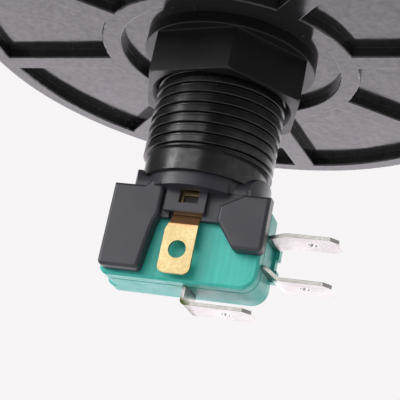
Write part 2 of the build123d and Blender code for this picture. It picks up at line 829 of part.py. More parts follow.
# Switch case, the rear shell, with the guard behind its side terminals
with BuildPart() as switch_case:
    switch_body(-switch_front)
    # The rear wall stands out a little at the end away from the terminals
    with BuildSketch(rear_face.offset(switch_front)) as rear_wall:
        with Locations((switch_end + end_reach, hole_middle)):
            Rectangle(end_reach + 2 * switch_corner_round, switch_height, align=(Align.MAX, Align.CENTER))
        fillet(rear_wall.vertices().group_by(Axis.X)[-1], switch_corner_round)
    extrude(amount=-end_relief_depth)
    chamfer(switch_case.faces().sort_by(Axis.Y)[-1].outer_wire().edges(), switch_bevel)
    switch_cavity(switch_wall - switch_front)
    with BuildSketch(rear_face.offset(switch_front - guard_depth)):
        with BuildLine():
            notch_top = switch_top - (guard_top + guard_bottom - guard_notch) / 2
            tip = -switch_end - guard_reach
            root = -switch_end + switch_wall
            Polyline(
                (root, switch_top - guard_top),
                (tip, switch_top - guard_top),
                (tip, notch_top),
                (tip + guard_notch_depth, notch_top),
                (tip + guard_notch_depth, notch_top - guard_notch),
                (tip, notch_top - guard_notch),
                (tip, switch_top - guard_bottom),
                (root, switch_top - guard_bottom),
                close=True,
            )
        make_face()
    extrude(amount=guard_depth)
    # Rear corner of the end above the guard is stepped back
    with BuildSketch(rear_face.offset(switch_front)):
        with Locations((-switch_end, switch_top)):
            Rectangle(end_relief, guard_top, align=(Align.MIN, Align.MAX))
    extrude(amount=-end_relief_depth, mode=Mode.SUBTRACT)
    peg_holes(switch_depth)
    terminal_slots()
    with BuildSketch(Plane.XY.offset(switch_top)):
        with Locations((pin_x, 0)):
            Circle(pin_radius + pin_play)
    extrude(amount=-2 * switch_wall, mode=Mode.SUBTRACT)
save(switch_case, "switch_case")

# Switch cover, the front shell
with BuildPart() as switch_cover:
    switch_body(switch_front)
    chamfer(switch_cover.faces().sort_by(Axis.Y)[0].outer_wire().edges(), switch_bevel)
    switch_cavity(switch_front - switch_wall)
    peg_holes(switch_depth)
    terminal_slots()
save(switch_cover, "switch_cover")

# Switch pin: head above the case, flange under its top wall, stem down to the blade
flange_under = switch_top - switch_wall - pin_play
with BuildPart() as switch_pin:
    with BuildSketch(Plane.XY.offset(flange_under)):
        with Locations((pin_x, 0)):
            Circle(pin_radius)
    extrude(amount=pin_top - flange_under)
    fillet(switch_pin.edges().filter_by_position(Axis.Z, pin_top, pin_top), pin_radius / 2)
    with BuildSketch(Plane.XY.offset(flange_under)):
        with Locations((pin_x, 0)):
            Circle(pin_flange_radius)
    extrude(amount=-pin_flange_height)
    with BuildSketch(Plane.XY.offset(flange_under - pin_flange_height)):
        with Locations((pin_x, 0)):
            Circle(pin_stem_radius)
    extrude(amount=pin_end - flange_under + pin_flange_height)
    fillet(switch_pin.edges().filter_by_position(Axis.Z, pin_end, pin_end), pin_stem_radius / 2)
save(switch_pin, "switch_pin")


def rivet_hole(x):
    """Hole for a contact rivet's shank, through everything above and below."""
    with BuildSketch(Plane.XY) as hole:
        with Locations((x, 0)):
            Circle(contact_shank + contact_shank_play)
    extrude(hole.sketch, amount=2 * switch_bottom, mode=Mode.SUBTRACT)


def tab_tip(tip_x):
    """Trims a terminal to its plan view: straight sides, cut corners at tip_x and the hole near them."""
    with BuildSketch(Plane.XY) as plan:
        with Locations((tip_x, 0)):
            Rectangle(2 * switch_length, terminal_width, align=(Align.MAX, Align.CENTER))
        chamfer(plan.vertices().group_by(Axis.X)[-1], terminal_tip_cut)
        with Locations((tip_x - terminal_hole_inset, 0)):
            Circle(terminal_hole_radius, mode=Mode.SUBTRACT)
    extrude(plan.sketch, amount=2 * switch_bottom, mode=Mode.INTERSECT)


# Side terminals, stepped apart outside the case
side_tip = switch_end + side_terminal_reach
for name, root, blade_drop in (
    ("upper_terminal", upper_root, upper_blade_drop),
    ("lower_terminal", lower_root, lower_blade_drop),
):
    blade_level = switch_top - blade_drop
    side_route = (
        (terminal_inner_x + terminal_thickness / 2, root),
        (switch_end + joggle_start, root),
        (switch_end + joggle_start + joggle_run, blade_level),
        (side_tip, blade_level),
    )
    with BuildPart() as side_terminal:
        bent_strip(front_face, side_route, terminal_thickness, terminal_width, joggle_bend)
        tab_tip(side_tip)
        rivet_hole(contact_x)
    save(side_terminal, name)

# Common terminal: blade under the switch, up through its floor, round to the post that the blade rocks on
common_level = switch_bottom - common_blade_drop
common_run = switch_bottom + switch_wall + common_floor_gap + terminal_thickness / 2
common_tip = common_x + common_reach
common_route = (
    (common_tip, common_level),
    (common_x, common_level),
    (common_x, common_run),
    (common_post_x, common_run),
    (common_post_x, switch_top - common_shelf_drop),
    (common_pivot_x, switch_top - common_shelf_drop),
    (common_pivot_x, pivot_z - terminal_thickness / 2),
)
with BuildPart() as common_terminal:
    bent_strip(front_face, common_route, terminal_thickness, terminal_width, terminal_bend)
    tab_tip(common_tip)
save(common_terminal, "common_terminal")

# Fixed contacts, a rivet on each side terminal facing the blade
for name, root, face_z in (
    ("upper_contact", upper_root, upper_contact_face),
    ("lower_contact", lower_root, lower_contact_face),
):
    near = root + (terminal_thickness / 2 if face_z > root else -terminal_thickness / 2)
    far = 2 * root - near
    with BuildPart() as fixed_contact:
        with BuildSketch(Plane.XY.offset(near)):
            with Locations((contact_x, 0)):
                Circle(contact_radius)
        extrude(amount=face_z - near)
        with BuildSketch(Plane.XY.offset(far)):
            with Locations((contact_x, 0)):
                Circle(contact_shank)
        extrude(amount=near - far)
    save(fixed_contact, name)

# Moving blade and its double-faced contact
with BuildPart() as contact_blade:
    with BuildSketch(Plane.XY.offset(blade_bottom)):
        with Locations((common_pivot_x - blade_heel, 0)):
            Rectangle(
                contact_x + contact_radius - common_pivot_x + blade_heel,
                blade_width,
                align=(Align.MIN, Align.CENTER),
            )
    extrude(amount=blade_thickness)
    rivet_hole(contact_x)
save(contact_blade, "contact_blade")

with BuildPart() as moving_contact:
    for level, rise in ((blade_top, moving_contact_height), (blade_bottom, -moving_contact_height)):
        with BuildSketch(Plane.XY.offset(level)):
            with Locations((contact_x, 0)):
                Circle(contact_radius)
        extrude(amount=rise)
    with BuildSketch(Plane.XY.offset(blade_bottom)):
        with Locations((contact_x, 0)):
            Circle(contact_shank)
    extrude(amount=blade_thickness)
save(moving_contact, "moving_contact")

# Snap spring: a bowed tongue under the blade
with BuildPart() as snap_spring:
    heel_x = common_post_x + terminal_thickness / 2 + snap_heel_gap
    snap_route = (
        (heel_x, blade_bottom - snap_heel_drop),
        (heel_x + snap_length / 3, blade_bottom - snap_belly_drop),
        (heel_x + 2 * snap_length / 3, blade_bottom - snap_belly_drop),
        (heel_x + snap_length, blade_bottom - snap_thickness / 2 - blade_seat_gap),
    )
    bent_strip(front_face, snap_route, snap_thickness, snap_width, terminal_bend)
save(snap_spring, "snap_spring")

print("pin travel", round(pin_travel, 4), "blade swing", round(degrees(blade_swing), 4))
print("blade pivot", common_pivot_x, round(pivot_z, 4), "spring foot", floor_top)
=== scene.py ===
# %% [markdown]
# # A lit dome push button, seen from below
#
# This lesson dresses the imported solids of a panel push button: a ribbed round base with a threaded stem,
# a nut, a lamp holder with brass strips, and a teal snap-action switch with tinned blades. Everything is
# in metres, in the frame of the solids: the origin is the middle of the base's underside, +Z points to
# the dome and -Y is the front.

import bpy
import numpy as np
from mathutils import Matrix, Vector


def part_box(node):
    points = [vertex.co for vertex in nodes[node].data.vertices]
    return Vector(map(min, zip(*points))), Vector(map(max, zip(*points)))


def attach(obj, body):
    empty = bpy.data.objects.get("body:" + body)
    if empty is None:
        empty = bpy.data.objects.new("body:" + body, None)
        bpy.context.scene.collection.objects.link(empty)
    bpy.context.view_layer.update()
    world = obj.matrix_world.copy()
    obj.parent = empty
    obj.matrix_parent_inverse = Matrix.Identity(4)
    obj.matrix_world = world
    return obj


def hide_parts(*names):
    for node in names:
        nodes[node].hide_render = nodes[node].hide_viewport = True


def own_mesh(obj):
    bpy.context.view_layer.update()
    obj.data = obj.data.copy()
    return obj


MM = 0.001
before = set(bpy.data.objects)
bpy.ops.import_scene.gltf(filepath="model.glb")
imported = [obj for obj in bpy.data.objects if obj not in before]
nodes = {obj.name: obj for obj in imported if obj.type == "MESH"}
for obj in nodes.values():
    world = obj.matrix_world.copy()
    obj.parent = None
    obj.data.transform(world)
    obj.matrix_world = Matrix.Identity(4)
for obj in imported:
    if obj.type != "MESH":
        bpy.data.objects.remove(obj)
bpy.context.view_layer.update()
scene = bpy.context.scene
scene.view_settings.view_transform = "Standard"

# %% [markdown]
# ## Camera
#
# The picture is taken from in front, a little to the right and well below the base, so that its underside
# shows. A camera is a matrix: its columns are the right, up and backward directions and its place. They
# are worked out from an azimuth, an elevation and a roll, which is easier to read than three Euler angles.

# %% Camera
azimuth, elevation, roll = np.radians([19.0, -19.134, 11.874])
camera_place = np.array([66.887, -194.900, -98.640]) * MM
lens_length, sensor_width = 111.5, 36.0
nearest_seen, farthest_seen = 0.01, 50.0
flat_share = np.cos(elevation)
toward = np.array([-np.sin(azimuth) * flat_share, np.cos(azimuth) * flat_share, -np.sin(elevation)])
level = np.array([np.cos(azimuth), np.sin(azimuth), 0.0])
lift = np.cross(level, toward)
right = np.cos(roll) * level + np.sin(roll) * lift
upward = np.cross(right, toward)
placed = np.eye(4)
placed[:3] = np.column_stack([right, upward, -toward, camera_place])
camera = bpy.data.objects.new("camera", bpy.data.cameras.new("camera"))
scene.collection.objects.link(camera)
camera.data.lens = lens_length
camera.data.sensor_width = sensor_width
camera.data.clip_start = nearest_seen
camera.data.clip_end = farthest_seen
camera.matrix_world = Matrix(placed.tolist())
scene.camera = camera
print("camera at", np.round(camera_place, 4), "looking along", np.round(toward, 3))

# %% [markdown]
# ## Background
#
# The button hangs in front of an even, pale background. A white world would do, but one that is bright
# enough to look white also lights the object too much. So the world has two strengths: one that the camera,
# reflections and clear plastic see, and a weaker one that lights the object.


# %% Background
def combine(tree, operation, first, second):
    """A sum, difference, product or greater of two values."""
    maths = tree.nodes.new("ShaderNodeMath")
    maths.operation = operation
    tree.links.new(first, maths.inputs[0])
    tree.links.new(second, maths.inputs[1])
    return maths.outputs["Value"]


def background_rays(tree):
    """1 for the rays that should see the background: camera, glossy and transmission rays."""
    path = tree.nodes.new("ShaderNodeLightPath")
    direct = combine(tree, "MAXIMUM", path.outputs["Is Camera Ray"], path.outputs["Is Glossy Ray"])
    return combine(tree, "MAXIMUM", direct, path.outputs["Is Transmission Ray"])


pale, white = (0.93, 0.905, 0.918, 1.0), (1.0, 1.0, 1.0, 1.0)
seen_strength, fill_strength = 1.0, 0.4
world = bpy.data.worlds.new("pale_room")
scene.world = world
world.use_nodes = True
room = world.node_tree
room.nodes.clear()
room_output = room.nodes.new("ShaderNodeOutputWorld")
room_seen = room.nodes.new("ShaderNodeBackground")
room_seen.inputs["Color"].default_value = pale
room_seen.inputs["Strength"].default_value = seen_strength
room_fill = room.nodes.new("ShaderNodeBackground")
room_fill.inputs["Color"].default_value = white
room_fill.inputs["Strength"].default_value = fill_strength
room_mix = room.nodes.new("ShaderNodeMixShader")
room.links.new(background_rays(room), room_mix.inputs[0])
room.links.new(room_fill.outputs[0], room_mix.inputs[1])
room.links.new(room_seen.outputs[0], room_mix.inputs[2])
room.links.new(room_mix.outputs[0], room_output.inputs["Surface"])
print("background seen at", seen_strength, "and lighting at", fill_strength)

# %% [markdown]
# ## Floor
#
# A pale floor lies far below, so that the underside has something pale to look at. A ready-made plane would
# do for it. A grid of points worked out with numpy is used instead, because the same helper then makes
# every other surface of this lesson: neighbours in the grid are joined by four-sided faces. What the camera
# sees of the floor is mostly the background's colour, mixed with some of its own colour, so that a soft
# shadow stays.


# %% Floor grid
def grid_mesh(name, points, wrap_rows=False, wrap_columns=False, caps=False):
    """Makes a mesh from a grid of points with shape (rows, columns, 3). Face (i, j) joins points (i, j),
    (i, j + 1), (i + 1, j + 1) and (i + 1, j). With wrap the last row or column joins the first, and caps
    close the two ends of a tube."""
    rows, columns = points.shape[:2]
    index = np.arange(rows * columns).reshape(rows, columns)
    here, below = (index, np.roll(index, -1, 0)) if wrap_rows else (index[:-1], index[1:])
    if wrap_columns:
        corners = [here, np.roll(here, -1, 1), np.roll(below, -1, 1), below]
    else:
        corners = [here[:, :-1], here[:, 1:], below[:, 1:], below[:, :-1]]
    faces = np.stack(corners, -1).reshape(-1, 4).tolist()
    if caps:
        faces += [index[0, ::-1].tolist(), index[-1].tolist()]
    mesh = bpy.data.meshes.new(name)
    mesh.from_pydata(points.reshape(-1, 3).tolist(), [], faces)
    mesh.update()
    return mesh


# The floor is a square of evenly spaced points, all at the same height
floor_level, floor_half, floor_rows = -0.9, 3.0, 5
side = np.linspace(-floor_half, floor_half, floor_rows)
floor_points = np.stack([*np.meshgrid(side, side), np.full((floor_rows, floor_rows), floor_level)], -1)
floor_mesh = grid_mesh("floor", floor_points)
print("floor grid with", len(floor_mesh.polygons), "faces at", floor_level)


# %% Floor
def new_finish(name, colour, roughness, metallic=0.0, ior=1.5):
    """A finish with the values that are the same all over it set on the shader itself."""
    finish = bpy.data.materials.new(name)
    finish.use_nodes = True
    shader = finish.node_tree.nodes["Principled BSDF"]
    shader.inputs["Base Color"].default_value = (*colour, 1.0)
    shader.inputs["Roughness"].default_value = roughness
    shader.inputs["Metallic"].default_value = metallic
    shader.inputs["IOR"].default_value = ior
    return finish, finish.node_tree, shader


def spread(tree, value, band, out):
    """Maps value from the two ends of band to the two ends of out, and holds it beyond them."""
    ranged = tree.nodes.new("ShaderNodeMapRange")
    ranged.inputs["From Min"].default_value = band[0]
    ranged.inputs["From Max"].default_value = band[1]
    ranged.inputs["To Min"].default_value = out[0]
    ranged.inputs["To Max"].default_value = out[1]
    tree.links.new(value, ranged.inputs["Value"])
    return ranged.outputs["Result"]


def new_object(name, mesh, finish):
    """Adds an object with one finish to the scene."""
    piece = bpy.data.objects.new(name, mesh)
    scene.collection.objects.link(piece)
    piece.data.materials.append(finish)
    return piece


def stage_piece(name, mesh, finish):
    """Adds an object that isn't part of the button."""
    piece = new_object(name, mesh, finish)
    return piece


background_share = 0.8
floor_pale, floor_tree, floor_shader = new_finish("floor_pale", (0.90, 0.885, 0.892), roughness=0.8)
floor_seen = floor_tree.nodes.new("ShaderNodeEmission")
floor_seen.inputs["Color"].default_value = pale
floor_mix = floor_tree.nodes.new("ShaderNodeMixShader")
floor_rays = spread(floor_tree, background_rays(floor_tree), (0.0, 1.0), (0.0, background_share))
floor_tree.links.new(floor_rays, floor_mix.inputs[0])
floor_tree.links.new(floor_shader.outputs[0], floor_mix.inputs[1])
floor_tree.links.new(floor_seen.outputs[0], floor_mix.inputs[2])
floor_tree.links.new(floor_mix.outputs[0], floor_tree.nodes["Material Output"].inputs["Surface"])
stage_piece("floor", floor_mesh, floor_pale)
print("floor shows the background to a share of", background_share)

# %% [markdown]
# ## Dark card
#
# Black gloss plastic shows its surroundings more than its own colour. The upright faces that look at the
# camera reflect the unlit side of the room. A whole room could be modelled for that. A curved card in front
# is simpler: only glossy rays see it, so it neither lights nor shades anything. It glows more towards the
# right, because the faces turned that way are paler.


# %% Dark card
def object_axis(tree, axis):
    """The X, Y or Z of the surface point, in metres."""
    place = tree.nodes.new("ShaderNodeTexCoord")
    axes = tree.nodes.new("ShaderNodeSeparateXYZ")
    tree.links.new(place.outputs["Object"], axes.inputs[0])
    return axes.outputs[axis]


card_radius, card_bottom, card_top = 1.7, -0.04, 1.7
card_start, card_end, card_columns, card_rows = -215, 35, 25, 5
glow_from_to_x, glow_strengths = (0.7, 1.6), (0.06, 0.65)
card_dark, card_tree, card_shader = new_finish("card_dark", (0.02, 0.02, 0.022), roughness=0.9)
card_shader.inputs["Emission Color"].default_value = white
card_glow = spread(card_tree, object_axis(card_tree, "X"), glow_from_to_x, glow_strengths)
card_tree.links.new(card_glow, card_shader.inputs["Emission Strength"])
# At angle a and height h the card's point is at (R cos a, R sin a, h)
turn = np.radians(np.linspace(card_start, card_end, card_columns))[None, :]
rise = np.linspace(card_bottom, card_top, card_rows)[:, None]
card_grid = np.broadcast_arrays(card_radius * np.cos(turn), card_radius * np.sin(turn), rise)
card = stage_piece("dark_card", grid_mesh("dark_card", np.stack(card_grid, -1)), card_dark)
card.visible_camera = False
card.visible_diffuse = False
card.visible_shadow = False
card.visible_transmission = False
print("card round the front at", card_radius, "from", card_start, "to", card_end, "degrees")

# %% [markdown]
# ## Lamps
#
# The flat ribbed underside is a dull mirror. A wide soft lamp, under, stands where the camera sees its mirror
# image, so that the flats look pale grey while the walls of the pockets stay black. The key lamp lights the
# front from the left, a small bright one draws the highlights on the left, and one behind lights the edges
# from the back. Point lamps would show in the gloss only as sparks, so all four have a size.


# %% Lamps
def lamp(name, place, aim, size, power, colour=(1.0, 1.0, 1.0)):
    """A soft rectangular lamp at a place, turned so that it shines at aim. Its brightness is power over pi
    times its area, which is what a mirror would show of it."""
    width, height = size
    data = bpy.data.lights.new(name, "AREA")
    data.shape = "RECTANGLE"
    data.size, data.size_y = width, height
    data.energy = power
    data.color = colour
    piece = bpy.data.objects.new(name, data)
    scene.collection.objects.link(piece)
    piece.location = place
    piece.rotation_euler = (Vector(aim) - Vector(place)).to_track_quat("-Z", "Y").to_euler()
    piece.visible_camera = False
    print(name, "brightness", round(power / (np.pi * width * height), 2))


mirror_tone = (0.98, 0.90, 1.0)
lamp("key", place=(-0.46, -0.91, 0.40), aim=(0, 0, -0.03), size=(1.0, 0.8), power=5.2)
lamp("left", place=(-0.95, -0.70, 0.22), aim=(0, 0, -0.03), size=(0.35, 0.35), power=5.0)
lamp("back", place=(0.1, 1.3, 0.35), aim=(0, 0, 0), size=(2.0, 1.0), power=6.5)
lamp("under", place=(-0.33, 0.96, -0.42), aim=(0, 0, -0.02), size=(1.5, 0.8), power=4.8, colour=mirror_tone)

# %% [markdown]
# ## Finishes
#
# Each finish is a Principled shader with three kinds of detail: slow colour change, a roughness that wanders,
# and a bump at the scale of the real surface. Pictures wrapped round the pieces could give these. Patterns
# worked out from Object coordinates, which are metres on this object, need no unwrapping, and their grain has
# the same size on every piece. Each helper adds a few nodes and hands back the socket with the result.


# %% Pattern helpers
RISING, FALLING = (0.0, 1.0), (1.0, 0.0)


def noise(tree, per_metre, detail=3.0, stretch=(1.0, 1.0, 1.0), offset=(0.0, 0.0, 0.0)):
    """Noise with per_metre cells to the metre, drawn out along an axis by a small factor there. Most of its
    values lie between 0.3 and 0.7."""
    place = tree.nodes.new("ShaderNodeTexCoord")
    mapping = tree.nodes.new("ShaderNodeMapping")
    mapping.inputs["Scale"].default_value = stretch
    mapping.inputs["Location"].default_value = offset
    cloud = tree.nodes.new("ShaderNodeTexNoise")
    cloud.inputs["Scale"].default_value = per_metre
    cloud.inputs["Detail"].default_value = detail
    tree.links.new(place.outputs["Object"], mapping.inputs["Vector"])
    tree.links.new(mapping.outputs["Vector"], cloud.inputs["Vector"])
    return cloud.outputs["Fac"]


def blend_colour(tree, value, first, second):
    """A colour that goes from first to second as value goes from 0 to 1."""
    ramp = tree.nodes.new("ShaderNodeValToRGB")
    ramp.color_ramp.elements[0].color = (*first, 1.0)
    ramp.color_ramp.elements[1].color = (*second, 1.0)
    tree.links.new(value, ramp.inputs["Fac"])
    return ramp.outputs["Color"]


def bump(tree, shader, heights, edge):
    """Softens edges over a width in metres, then chains bumps into the shader: heights is a list of (value,
    strength, depth in metres)."""
    soft = tree.nodes.new("ShaderNodeBevel")
    soft.samples = 4
    soft.inputs["Radius"].default_value = edge
    normal = soft.outputs["Normal"]
    for value, strength, depth in heights:
        dent = tree.nodes.new("ShaderNodeBump")
        dent.inputs["Strength"].default_value = strength
        dent.inputs["Distance"].default_value = depth
        tree.links.new(value, dent.inputs["Height"])
        tree.links.new(normal, dent.inputs["Normal"])
        normal = dent.outputs["Normal"]
    tree.links.new(normal, shader.inputs["Normal"])


print("pattern helpers ready: noise, blend_colour and bump")


# %% Place helpers
def distance_from(tree, middle, across):
    """Distance of the surface point from a line or plane through middle: across holds a 1 for each axis
    along which it counts and a 0 for the others."""
    place = tree.nodes.new("ShaderNodeTexCoord")
    offset = tree.nodes.new("ShaderNodeVectorMath")
    offset.operation = "SUBTRACT"
    offset.inputs[1].default_value = middle
    counted = tree.nodes.new("ShaderNodeVectorMath")
    counted.operation = "MULTIPLY"
    counted.inputs[1].default_value = across
    length = tree.nodes.new("ShaderNodeVectorMath")
    length.operation = "LENGTH"
    tree.links.new(place.outputs["Object"], offset.inputs[0])
    tree.links.new(offset.outputs["Vector"], counted.inputs[0])
    tree.links.new(counted.outputs["Vector"], length.inputs[0])
    return length.outputs["Value"]


def cover_colour(tree, value, below, colour):
    """The colour from the socket below, covered by a fixed colour as value goes from 0 to 1."""
    mixed = tree.nodes.new("ShaderNodeMix")
    mixed.data_type = "RGBA"
    mixed.inputs["B"].default_value = (*colour, 1.0)
    tree.links.new(value, mixed.inputs["Factor"])
    tree.links.new(below, mixed.inputs["A"])
    return mixed.outputs["Result"]


print("place helpers ready: distance_from and cover_colour")

# %% [markdown]
# ## Base plastic
#
# The base and its stem are one black moulding. The disc is polished and a little wavy, with specks of dust on
# its underside and a thin film that dulls the shine in patches. The stem is duller, and darker along its
# thread. Separate materials would need the mesh cut into zones. One material that knows how far a point is
# from the axis, and how high, does it without.


# %% Base plastic
def base_colour(tree, dark, light, from_axis, disc):
    """Cloudy black, darker along the thread, with dust on the underside between the stem and the rim."""
    thread_dark, dust_grey = (0.006, 0.006, 0.0065), (0.30, 0.28, 0.29)
    thread_end, rim_radius, pocket_top = -21.7 * MM, 49.2 * MM, 2.5 * MM
    height = object_axis(tree, "Z")
    cloud = spread(tree, noise(tree, per_metre=60.0, detail=4.0), (0.35, 0.65), RISING)
    above_collar = spread(tree, height, (thread_end - 0.5 * MM, thread_end + 0.5 * MM), RISING)
    thread = combine(tree, "SUBTRACT", above_collar, disc)
    threaded = cover_colour(tree, thread, blend_colour(tree, cloud, dark, light), thread_dark)
    specks = spread(tree, noise(tree, per_metre=1700.0, detail=3.0), (0.665, 0.72), RISING)
    patchy = noise(tree, per_metre=55.0, detail=3.0, offset=(0.7, 0.4, 0.1))
    patches = spread(tree, patchy, (0.42, 0.62), RISING)
    rim = spread(tree, from_axis, (rim_radius, rim_radius + 0.4 * MM), RISING)
    underside = spread(tree, height, (pocket_top, pocket_top + 0.2 * MM), FALLING)
    dust_room = combine(tree, "MULTIPLY", underside, combine(tree, "SUBTRACT", disc, rim))
    dust = combine(tree, "MULTIPLY", combine(tree, "MULTIPLY", specks, patches), dust_room)
    return cover_colour(tree, dust, threaded, dust_grey)


def base_roughness(tree, disc):
    """Duller on the stem than on the disc, and wandering on both."""
    stem_worn = noise(tree, per_metre=150.0, detail=6.0)
    disc_worn = noise(tree, per_metre=120.0, detail=6.0, offset=(0.3, 0.1, 0.2))
    rough = tree.nodes.new("ShaderNodeMix")
    tree.links.new(disc, rough.inputs["Factor"])
    tree.links.new(spread(tree, stem_worn, (0.35, 0.7), (0.22, 0.32)), rough.inputs["A"])
    tree.links.new(spread(tree, disc_worn, (0.35, 0.7), (0.10, 0.18)), rough.inputs["B"])
    return rough.outputs["Result"]


def base_moulding():
    """Black plastic with a polished, wavy and dusty disc and a duller stem."""
    dark, light, stem_radius = (0.014, 0.0135, 0.0145), (0.020, 0.019, 0.0205), 12.5 * MM
    finish, tree, shader = new_finish("base_black", dark, roughness=0.1)
    from_axis = distance_from(tree, middle=(0, 0, 0), across=(1, 1, 0))
    disc = spread(tree, from_axis, (stem_radius, stem_radius + 1.0 * MM), RISING)
    tree.links.new(base_colour(tree, dark, light, from_axis, disc), shader.inputs["Base Color"])
    tree.links.new(base_roughness(tree, disc), shader.inputs["Roughness"])
    film = noise(tree, per_metre=900.0, detail=6.0, offset=(0.2, 0.6, 0.3))
    tree.links.new(spread(tree, film, (0.35, 0.68), (0.62, 0.38)), shader.inputs["Specular IOR Level"])
    swell = noise(tree, per_metre=110.0, detail=1.0, offset=(0.5, 0.2, 0.9))
    skin = noise(tree, per_metre=2500.0, detail=2.0)
    bump(tree, shader, [(swell, 0.65, 0.12 * MM), (skin, 0.4, 0.0015 * MM)], edge=0.12 * MM)
    return finish


base_black = base_moulding()
print("made", base_black.name, "with", len(base_black.node_tree.nodes), "nodes")

# %% [markdown]
# ## Nut and holder plastic
#
# The nut and the holder are satin black, but not the same black: the nut is darker and the holder greyer,
# with a finer grain. They could share one material. One recipe with two sets of values keeps them apart.


# %% Nut and holder plastic
def black_moulding(name, dark, light, rough, ior, grain, grain_depth, edge):
    """Black plastic: faint cloudiness in its colour, a roughness that wanders between the two values of
    rough, and a skin with grain cells to the metre."""
    finish, tree, shader = new_finish(name, dark, rough[0], ior=ior)
    cloud = spread(tree, noise(tree, per_metre=60.0, detail=4.0), (0.35, 0.65), RISING)
    tree.links.new(blend_colour(tree, cloud, dark, light), shader.inputs["Base Color"])
    worn = noise(tree, per_metre=150.0, detail=6.0, offset=(0.3, 0.1, 0.2))
    tree.links.new(spread(tree, worn, (0.35, 0.7), rough), shader.inputs["Roughness"])
    swell = noise(tree, per_metre=90.0, detail=2.0, offset=(0.5, 0.2, 0.9))
    skin = noise(tree, per_metre=grain, detail=2.0)
    bump(tree, shader, [(swell, 0.25, 0.2 * MM), (skin, 0.5, grain_depth)], edge)
    return finish


satin = (0.36, 0.48)
nut_black = black_moulding(
    "nut_black",
    dark=(0.007, 0.007, 0.007),
    light=(0.011, 0.011, 0.011),
    rough=satin,
    ior=1.45,
    grain=4000.0,
    grain_depth=0.004 * MM,
    edge=0.3 * MM,
)
holder_black = black_moulding(
    "holder_black",
    dark=(0.032, 0.031, 0.041),
    light=(0.041, 0.039, 0.050),
    rough=satin,
    ior=1.5,
    grain=6000.0,
    grain_depth=0.005 * MM,
    edge=0.12 * MM,
)
print("made", nut_black.name, "and", holder_black.name)

# %% [markdown]
# ## Teal plastic
#
# The two shells of the switch are teal plastic. Its flow into the mould left soft clouds and faint upright
# streaks. A single noise gives only the clouds, so a second one, drawn out along Z, is added to it.


# %% Teal plastic
def teal_moulding():
    """Teal plastic with flow clouds, upright streaks and a satin skin."""
    dark, light = (0.036, 0.50, 0.42), (0.058, 0.60, 0.51)
    finish, tree, shader = new_finish("switch_teal", (0.06, 0.54, 0.45), roughness=0.3)
    flow = noise(tree, per_metre=140.0, detail=4.0, stretch=(1.0, 1.0, 0.4))
    streaks = noise(tree, per_metre=1100.0, detail=2.0, stretch=(1.0, 1.0, 0.05))
    cloud = spread(tree, combine(tree, "ADD", flow, streaks), (0.75, 1.25), RISING)
    tree.links.new(blend_colour(tree, cloud, dark, light), shader.inputs["Base Color"])
    worn = noise(tree, per_metre=300.0, detail=5.0)
    tree.links.new(spread(tree, worn, (0.3, 0.7), (0.36, 0.50)), shader.inputs["Roughness"])
    swell = noise(tree, per_metre=120.0, detail=2.0)
    skin = noise(tree, per_metre=5000.0, detail=2.0)
    bump(tree, shader, [(swell, 0.2, 0.1 * MM), (skin, 0.4, 0.004 * MM)], edge=0.15 * MM)
    return finish


switch_teal = teal_moulding()
print("made", switch_teal.name)

# %% [markdown]
# ## Metals
#
# Strips and blades are stamped from rolled sheet, so they carry long fine lines along the rolling direction,
# with stains and small pits. An anisotropic shader could stand for the lines. Here a noise that is drawn out
# along one axis makes them, because it also gives the bump. The wire, the lamp's leads and the contacts have
# no rolling direction, so their noise isn't drawn out.


# %% Metals
def rolled_metal(name, dark, light, rough, stretch):
    """Rolled strip: lines along one axis in roughness and bump, stains and pits in colour."""
    finish, tree, shader = new_finish(name, light, rough[0], metallic=1.0)
    lines = noise(tree, per_metre=7000.0, detail=3.0, stretch=stretch)
    stain = spread(tree, noise(tree, per_metre=170.0, detail=4.0), (0.35, 0.65), RISING)
    pitting = spread(tree, noise(tree, per_metre=2600.0, detail=5.0), (0.3, 0.7), (-0.6, 0.6))
    mottle = combine(tree, "ADD", stain, pitting)
    tree.links.new(blend_colour(tree, mottle, dark, light), shader.inputs["Base Color"])
    tree.links.new(spread(tree, lines, (0.3, 0.7), rough), shader.inputs["Roughness"])
    bump(tree, shader, [(lines, 0.3, 0.0015 * MM)], edge=0.08 * MM)
    return finish


def tinned_brass(name):
    """The bright plating of the blades, rolled along X."""
    return rolled_metal(name, (0.31, 0.30, 0.285), (0.41, 0.40, 0.375), (0.22, 0.34), (0.03, 1.0, 1.0))


upright, lengthwise, unrolled = (1.0, 1.0, 0.03), (0.05, 1.0, 1.0), (1.0, 1.0, 1.0)
strip_brass = rolled_metal("strip_brass", (0.48, 0.365, 0.175), (0.60, 0.48, 0.26), (0.30, 0.38), upright)
terminal_tin = tinned_brass("terminal_tin")
tin_bent = tinned_brass("terminal_tin_bent")
spring_steel = rolled_metal("spring_steel", (0.5, 0.5, 0.52), (0.62, 0.62, 0.64), (0.2, 0.35), unrolled)
blade_bronze = rolled_metal("blade_bronze", (0.62, 0.42, 0.24), (0.75, 0.54, 0.32), (0.2, 0.35), lengthwise)
contact_metal = rolled_metal("contact_metal", (0.75, 0.75, 0.73), (0.85, 0.85, 0.83), (0.2, 0.3), unrolled)
print("made", strip_brass.name, terminal_tin.name, tin_bent.name)
print("made", spring_steel.name, blade_bronze.name, contact_metal.name)
